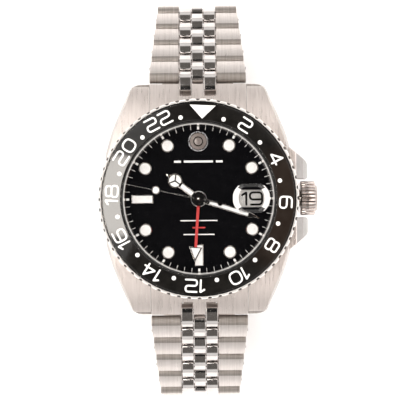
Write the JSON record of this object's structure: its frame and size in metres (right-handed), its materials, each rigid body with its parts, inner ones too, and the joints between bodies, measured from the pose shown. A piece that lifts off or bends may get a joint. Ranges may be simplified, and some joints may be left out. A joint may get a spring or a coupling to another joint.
{
  "type": "wristwatch",
  "caption": "Steel wristwatch with a turning numbered bezel, a date lens, an extra red hand and a closed link bracelet with a folding clasp.",
  "frame": {"origin": "centre of the case back's outer face, on the axis of the hands", "axes": "+Z the way the dial faces, +Y towards 12 o'clock, +X towards the crown"},
  "size_m": [0.0448, 0.0844, 0.049],
  "materials": {
    "brushed_steel": "satin brushed",
    "polished_steel": "polished",
    "spring_steel": "fine ground",
    "black_dial": "gloss lacquer",
    "black_ceramic": "polished ceramic",
    "sapphire": "clear",
    "brass": "satin gilt",
    "rhodium": "circular grained plating",
    "seal_rubber": "matte",
    "red_lacquer": "satin lacquer",
    "white_print": "matte print"
  },
  "bodies": {
    "case": {"case_middle": "brushed_steel", "case_back": "brushed_steel", "case_back_gasket": "seal_rubber", "crystal": "sapphire", "crystal_gasket": "seal_rubber", "date_magnifier": "sapphire", "bezel_click_spring": "spring_steel", "crown_tube": "polished_steel", "movement_holder": "rhodium", "mainplate": "rhodium", "train_bridge": "rhodium", "balance_cock": "rhodium", "dial": "black_dial", "end_link_12": "brushed_steel", "end_link_6": "brushed_steel", "spring_bar_12": "spring_steel", "spring_bar_6": "spring_steel"},
    "bezel": {"bezel_ring": "polished_steel", "bezel_insert": "black_ceramic"},
    "setting": {"setting_lever": "spring_steel"},
    "winding": {"crown": "brushed_steel", "winding_stem": "spring_steel"},
    "rotor": {"winding_rotor": "rhodium"},
    "seconds": {"seconds_hand": "polished_steel", "seconds_wheel": "brass"},
    "minutes": {"minute_hand": "polished_steel", "center_wheel": "brass"},
    "hours": {"hour_hand": "polished_steel"},
    "gmt": {"gmt_hand": "red_lacquer"},
    "date": {"date_disc": "white_print"},
    "third": {"third_wheel": "brass"},
    "escape": {"escape_wheel": "brass"},
    "barrel": {"mainspring_barrel": "brass"},
    "balance": {"balance_wheel": "brass"},
    "row_12_01": {"bracelet_12_row_01": "brushed_steel"},
    "row_12_02": {"bracelet_12_row_02": "brushed_steel"},
    "row_12_03": {"bracelet_12_row_03": "brushed_steel"},
    "row_12_04": {"bracelet_12_row_04": "brushed_steel"},
    "row_12_05": {"bracelet_12_row_05": "brushed_steel"},
    "row_12_06": {"bracelet_12_row_06": "brushed_steel"},
    "row_12_07": {"bracelet_12_row_07": "brushed_steel"},
    "row_12_08": {"bracelet_12_row_08": "brushed_steel"},
    "row_12_09": {"bracelet_12_row_09": "brushed_steel"},
    "row_12_10": {"bracelet_12_row_10": "brushed_steel"},
    "row_12_11": {"bracelet_12_row_11": "brushed_steel"},
    "row_6_01": {"bracelet_6_row_01": "brushed_steel"},
    "row_6_02": {"bracelet_6_row_02": "brushed_steel"},
    "row_6_03": {"bracelet_6_row_03": "brushed_steel"},
    "row_6_04": {"bracelet_6_row_04": "brushed_steel"},
    "row_6_05": {"bracelet_6_row_05": "brushed_steel"},
    "row_6_06": {"bracelet_6_row_06": "brushed_steel"},
    "row_6_07": {"bracelet_6_row_07": "brushed_steel"},
    "row_6_08": {"bracelet_6_row_08": "brushed_steel"},
    "row_6_09": {"bracelet_6_row_09": "brushed_steel"},
    "row_6_10": {"bracelet_6_row_10": "brushed_steel"},
    "row_6_11": {"bracelet_6_row_11": "brushed_steel"},
    "clasp": {"clasp_cover": "brushed_steel"},
    "flap": {"clasp_safety_flap": "brushed_steel"},
    "blade_a": {"clasp_blade_a": "polished_steel"},
    "blade_b": {"clasp_blade_b": "polished_steel"}
  },
  "joints": [
    {"name": "bezel_turn", "type": "hinge", "parent": "case", "child": "bezel", "pos_m": [0, 0, 0.0095], "axis": [0, 0, -1], "continuous": true},
    {"name": "crown_pull", "type": "slide", "parent": "case", "child": "setting", "axis": [1, 0, 0], "range_m": [0, 0.0018]},
    {"name": "crown_turn", "type": "hinge", "parent": "setting", "child": "winding", "pos_m": [0.0226, 0, 0.0048], "axis": [1, 0, 0], "continuous": true},
    {"name": "rotor_spin", "type": "hinge", "parent": "case", "child": "rotor", "pos_m": [0, 0, 0.0015], "axis": [0, 0, 1], "continuous": true},
    {"name": "seconds_turn", "type": "hinge", "parent": "case", "child": "seconds", "pos_m": [0, 0, 0.008], "axis": [0, 0, -1], "continuous": true},
    {"name": "minutes_turn", "type": "hinge", "parent": "case", "child": "minutes", "pos_m": [0, 0, 0.0076], "axis": [0, 0, -1], "continuous": true},
    {"name": "hours_turn", "type": "hinge", "parent": "case", "child": "hours", "pos_m": [0, 0, 0.0072], "axis": [0, 0, -1], "continuous": true},
    {"name": "gmt_turn", "type": "hinge", "parent": "case", "child": "gmt", "pos_m": [0, 0, 0.0068], "axis": [0, 0, -1], "continuous": true},
    {"name": "date_turn", "type": "hinge", "parent": "case", "child": "date", "pos_m": [0, 0, 0.0056], "axis": [0, 0, -1], "continuous": true},
    {"name": "third_wheel_turn", "type": "hinge", "parent": "case", "child": "third", "pos_m": [0.0047, 0.0046, 0.0036], "axis": [0, 0, -1], "continuous": true},
    {"name": "escape_wheel_turn", "type": "hinge", "parent": "case", "child": "escape", "pos_m": [-0.0023, -0.007, 0.0034], "axis": [0, 0, -1], "continuous": true},
    {"name": "barrel_turn", "type": "hinge", "parent": "case", "child": "barrel", "pos_m": [-0.0073, 0.0043, 0.0035], "axis": [0, 0, -1], "continuous": true},
    {"name": "balance_swing", "type": "hinge", "parent": "case", "child": "balance", "pos_m": [0.005, -0.0076, 0.0034], "axis": [0, 0, 1], "range_deg": [-150, 150]},
    {"name": "bracelet_12_hinge_01", "type": "hinge", "parent": "case", "child": "row_12_01", "pos_m": [0, 0.02525, 0.0034], "axis": [1, 0, 0], "range_deg": [0, 41]},
    {"name": "bracelet_12_hinge_02", "type": "hinge", "parent": "row_12_01", "child": "row_12_02", "pos_m": [0, 0.02902, 0.00012], "axis": [1, 0, 0], "range_deg": [0, 0.5]},
    {"name": "bracelet_12_hinge_03", "type": "hinge", "parent": "row_12_02", "child": "row_12_03", "pos_m": [0, 0.03277, -0.00319], "axis": [1, 0, 0], "range_deg": [0, 0.5]},
    {"name": "bracelet_12_hinge_04", "type": "hinge", "parent": "row_12_03", "child": "row_12_04", "pos_m": [0, 0.03648, -0.00654], "axis": [1, 0, 0], "range_deg": [0, 1.5]},
    {"name": "bracelet_12_hinge_05", "type": "hinge", "parent": "row_12_04", "child": "row_12_05", "pos_m": [0, 0.04011, -0.00998], "axis": [1, 0, 0], "range_deg": [0, 36.5]},
    {"name": "bracelet_12_hinge_06", "type": "hinge", "parent": "row_12_05", "child": "row_12_06", "pos_m": [0, 0.04098, -0.0149], "axis": [1, 0, 0], "range_deg": [0, 16]},
    {"name": "bracelet_12_hinge_07", "type": "hinge", "parent": "row_12_06", "child": "row_12_07", "pos_m": [0, 0.04046, -0.01988], "axis": [1, 0, 0], "range_deg": [0, 17]},
    {"name": "bracelet_12_hinge_08", "type": "hinge", "parent": "row_12_07", "child": "row_12_08", "pos_m": [0, 0.0385, -0.02448], "axis": [1, 0, 0], "range_deg": [0, 18]},
    {"name": "bracelet_12_hinge_09", "type": "hinge", "parent": "row_12_08", "child": "row_12_09", "pos_m": [0, 0.03522, -0.02825], "axis": [1, 0, 0], "range_deg": [0, 17]},
    {"name": "bracelet_12_hinge_10", "type": "hinge", "parent": "row_12_09", "child": "row_12_10", "pos_m": [0, 0.03098, -0.0309], "axis": [1, 0, 0], "range_deg": [0, 13]},
    {"name": "bracelet_12_hinge_11", "type": "hinge", "parent": "row_12_10", "child": "row_12_11", "pos_m": [0, 0.02626, -0.03253], "axis": [1, 0, 0], "range_deg": [0, 10]},
    {"name": "bracelet_6_hinge_01", "type": "hinge", "parent": "case", "child": "row_6_01", "pos_m": [0, -0.02525, 0.0034], "axis": [-1, 0, 0], "range_deg": [0, 41]},
    {"name": "bracelet_6_hinge_02", "type": "hinge", "parent": "row_6_01", "child": "row_6_02", "pos_m": [0, -0.02902, 0.00012], "axis": [-1, 0, 0], "range_deg": [0, 0.5]},
    {"name": "bracelet_6_hinge_03", "type": "hinge", "parent": "row_6_02", "child": "row_6_03", "pos_m": [0, -0.03277, -0.00319], "axis": [-1, 0, 0], "range_deg": [0, 0.5]},
    {"name": "bracelet_6_hinge_04", "type": "hinge", "parent": "row_6_03", "child": "row_6_04", "pos_m": [0, -0.03648, -0.00654], "axis": [-1, 0, 0], "range_deg": [0, 1.5]},
    {"name": "bracelet_6_hinge_05", "type": "hinge", "parent": "row_6_04", "child": "row_6_05", "pos_m": [0, -0.04011, -0.00998], "axis": [-1, 0, 0], "range_deg": [0, 36.5]},
    {"name": "bracelet_6_hinge_06", "type": "hinge", "parent": "row_6_05", "child": "row_6_06", "pos_m": [0, -0.04098, -0.0149], "axis": [-1, 0, 0], "range_deg": [0, 16]},
    {"name": "bracelet_6_hinge_07", "type": "hinge", "parent": "row_6_06", "child": "row_6_07", "pos_m": [0, -0.04046, -0.01988], "axis": [-1, 0, 0], "range_deg": [0, 17]},
    {"name": "bracelet_6_hinge_08", "type": "hinge", "parent": "row_6_07", "child": "row_6_08", "pos_m": [0, -0.0385, -0.02448], "axis": [-1, 0, 0], "range_deg": [0, 18]},
    {"name": "bracelet_6_hinge_09", "type": "hinge", "parent": "row_6_08", "child": "row_6_09", "pos_m": [0, -0.03522, -0.02825], "axis": [-1, 0, 0], "range_deg": [0, 17]},
    {"name": "bracelet_6_hinge_10", "type": "hinge", "parent": "row_6_09", "child": "row_6_10", "pos_m": [0, -0.03098, -0.0309], "axis": [-1, 0, 0], "range_deg": [0, 13]},
    {"name": "bracelet_6_hinge_11", "type": "hinge", "parent": "row_6_10", "child": "row_6_11", "pos_m": [0, -0.02626, -0.03253], "axis": [-1, 0, 0], "range_deg": [0, 10]},
    {"name": "clasp_hinge", "type": "hinge", "parent": "row_6_11", "child": "clasp", "pos_m": [0, -0.02132, -0.03331], "axis": [-1, 0, 0], "range_deg": [0, 9]},
    {"name": "clasp_flap_fold", "type": "hinge", "parent": "clasp", "child": "flap", "pos_m": [0, -0.00632, -0.03631], "axis": [1, 0, 0], "range_deg": [0, 100]},
    {"name": "clasp_blade_a_fold", "type": "hinge", "parent": "clasp", "child": "blade_a", "pos_m": [0, 0.01692, -0.03351], "axis": [-1, 0, 0], "range_deg": [0, 165]},
    {"name": "clasp_blade_b_fold", "type": "hinge", "parent": "blade_a", "child": "blade_b", "pos_m": [0, -0.01572, -0.03291], "axis": [1, 0, 0], "range_deg": [0, 165]}
  ],
  "couplings": [
    {"joint": "minutes_turn", "follows": "seconds_turn", "ratio": 0.016667},
    {"joint": "hours_turn", "follows": "seconds_turn", "ratio": 0.0013889},
    {"joint": "gmt_turn", "follows": "seconds_turn", "ratio": 0.00069444},
    {"joint": "date_turn", "follows": "seconds_turn", "ratio": 0.000022401},
    {"joint": "third_wheel_turn", "follows": "seconds_turn", "ratio": -0.125},
    {"joint": "escape_wheel_turn", "follows": "seconds_turn", "ratio": -10},
    {"joint": "barrel_turn", "follows": "seconds_turn", "ratio": -0.0020833},
    {"joint": "bracelet_12_hinge_05", "follows": "bracelet_12_hinge_01", "ratio": 0.89024},
    {"joint": "bracelet_12_hinge_06", "follows": "bracelet_12_hinge_01", "ratio": 0.39024},
    {"joint": "bracelet_12_hinge_07", "follows": "bracelet_12_hinge_01", "ratio": 0.41463},
    {"joint": "bracelet_12_hinge_08", "follows": "bracelet_12_hinge_01", "ratio": 0.43902},
    {"joint": "bracelet_12_hinge_09", "follows": "bracelet_12_hinge_01", "ratio": 0.41463},
    {"joint": "bracelet_12_hinge_10", "follows": "bracelet_12_hinge_01", "ratio": 0.31707},
    {"joint": "bracelet_12_hinge_11", "follows": "bracelet_12_hinge_01", "ratio": 0.2439},
    {"joint": "bracelet_6_hinge_05", "follows": "bracelet_6_hinge_01", "ratio": 0.89024},
    {"joint": "bracelet_6_hinge_06", "follows": "bracelet_6_hinge_01", "ratio": 0.39024},
    {"joint": "bracelet_6_hinge_07", "follows": "bracelet_6_hinge_01", "ratio": 0.41463},
    {"joint": "bracelet_6_hinge_08", "follows": "bracelet_6_hinge_01", "ratio": 0.43902},
    {"joint": "bracelet_6_hinge_09", "follows": "bracelet_6_hinge_01", "ratio": 0.41463},
    {"joint": "bracelet_6_hinge_10", "follows": "bracelet_6_hinge_01", "ratio": 0.31707},
    {"joint": "bracelet_6_hinge_11", "follows": "bracelet_6_hinge_01", "ratio": 0.2439},
    {"joint": "clasp_hinge", "follows": "bracelet_6_hinge_01", "ratio": 0.21429},
    {"joint": "clasp_blade_a_fold", "follows": "bracelet_6_hinge_01", "ratio": 3.9286},
    {"joint": "clasp_blade_b_fold", "follows": "bracelet_6_hinge_01", "ratio": 3.9286}
  ]
}
